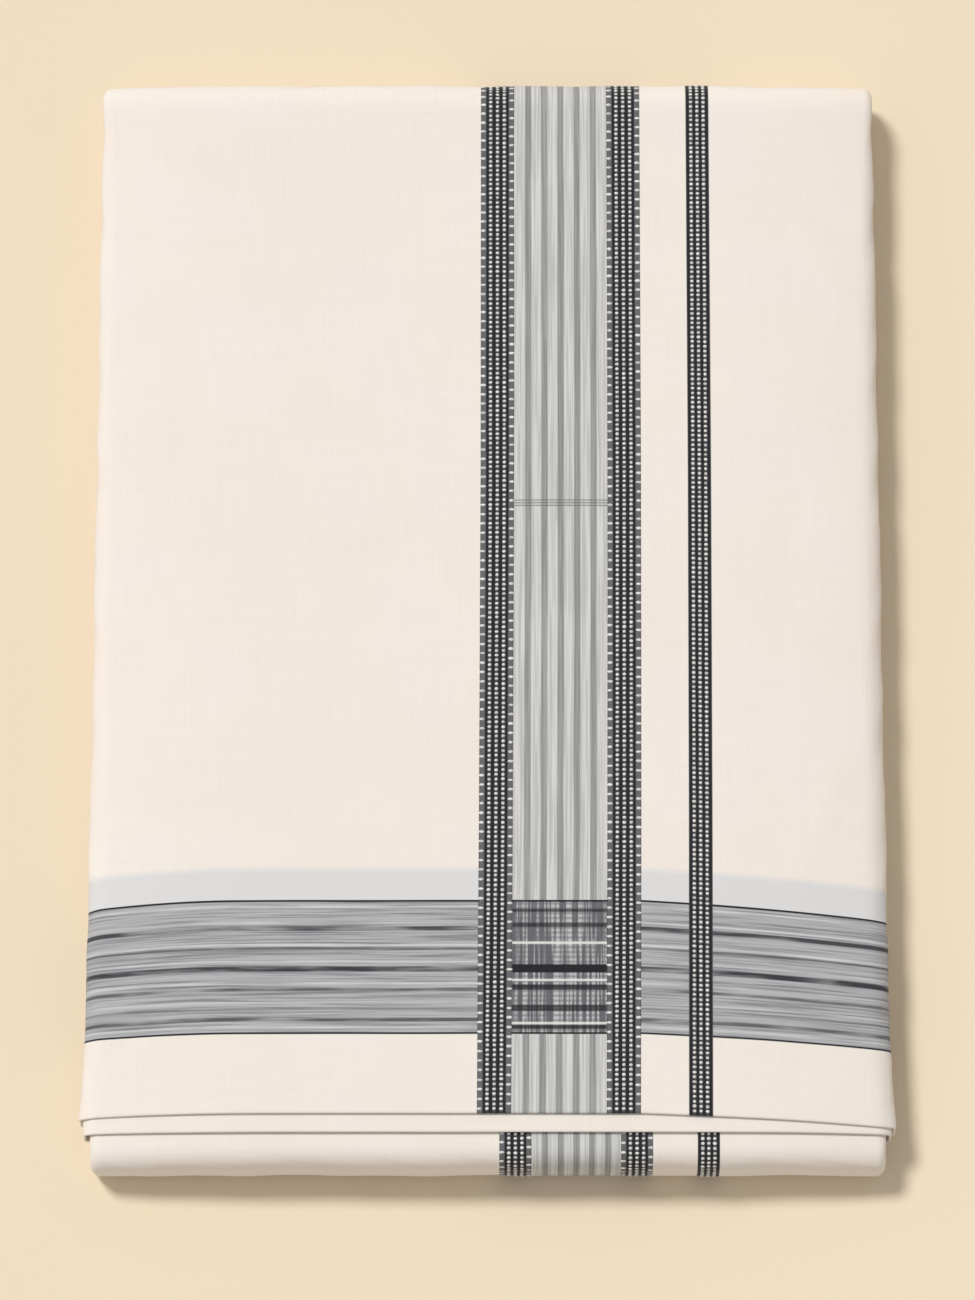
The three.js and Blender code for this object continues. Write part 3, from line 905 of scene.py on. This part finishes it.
KEY = {"azimuth": 137, "elevation": 57, "strength": 2.2, "angle": 14, "colour": (1.0, 0.985, 0.96)}
FILL = {"strength": 0.50, "colour": (1.0, 0.965, 0.925)}
FLOOR_HALF = 6
SENSOR_WIDTH = 36
CAMERA = {"elevation": 75.0, "distance": 2.24, "lens": 202.9, "aim": (0.0, -0.012, 0.022)}


def make_floor():
    n = Nodes("floor_paper")
    position = n.tree.nodes.new("ShaderNodeTexCoord")
    split = n.tree.nodes.new("ShaderNodeSeparateXYZ")
    n.put(split.inputs[0], position.outputs["Object"])
    tone = n.noise(n.math("MULTIPLY", split.outputs[0], 3.0), n.math("MULTIPLY", split.outputs[1], 3.0), 2.0)
    n.put(n.shader.inputs["Base Color"], n.shade(linear("floor"), n.span(tone, 0.3, 0.7, 0.99, 1.01)))
    n.put(n.shader.inputs["Roughness"], 0.9)
    n.put(n.shader.inputs["Specular IOR Level"], 0.1)
    mesh = bpy.data.meshes.new("floor")
    corners = [(FLOOR_HALF * x, FLOOR_HALF * y, 0) for x, y in ((-1, -1), (1, -1), (1, 1), (-1, 1))]
    mesh.from_pydata(corners, [], [(0, 1, 2, 3)])
    mesh.materials.append(n.material)
    floor = bpy.data.objects.new("floor", mesh)
    bpy.context.collection.objects.link(floor)


def direction(azimuth, elevation):
    """Towards a place at that azimuth, counted from +X to +Y, and elevation."""
    a, e = math.radians(azimuth), math.radians(elevation)
    return Vector((math.cos(a) * math.cos(e), math.sin(a) * math.cos(e), math.sin(e)))


def make_lights():
    key = bpy.data.lights.new("key", "SUN")
    key.energy, key.angle, key.color = KEY["strength"], math.radians(KEY["angle"]), KEY["colour"]
    lamp = bpy.data.objects.new("key", key)
    lamp.rotation_euler = direction(KEY["azimuth"], KEY["elevation"]).to_track_quat("Z", "Y").to_euler()
    bpy.context.collection.objects.link(lamp)
    world = bpy.data.worlds.new("studio")
    world.use_nodes = True
    background = world.node_tree.nodes["Background"]
    background.inputs[0].default_value = (*FILL["colour"], 1)
    background.inputs[1].default_value = FILL["strength"]
    bpy.context.scene.world = world


def make_camera():
    camera = bpy.data.cameras.new("camera")
    camera.lens, camera.sensor_width = CAMERA["lens"], SENSOR_WIDTH
    holder = bpy.data.objects.new("camera", camera)
    back = direction(-90, CAMERA["elevation"])
    holder.location = Vector(CAMERA["aim"]) + CAMERA["distance"] * back
    holder.rotation_euler = back.to_track_quat("Z", "Y").to_euler()
    bpy.context.collection.objects.link(holder)
    bpy.context.scene.camera = holder


make_floor()
make_lights()
make_camera()
bpy.context.scene.view_settings.view_transform = "Standard"
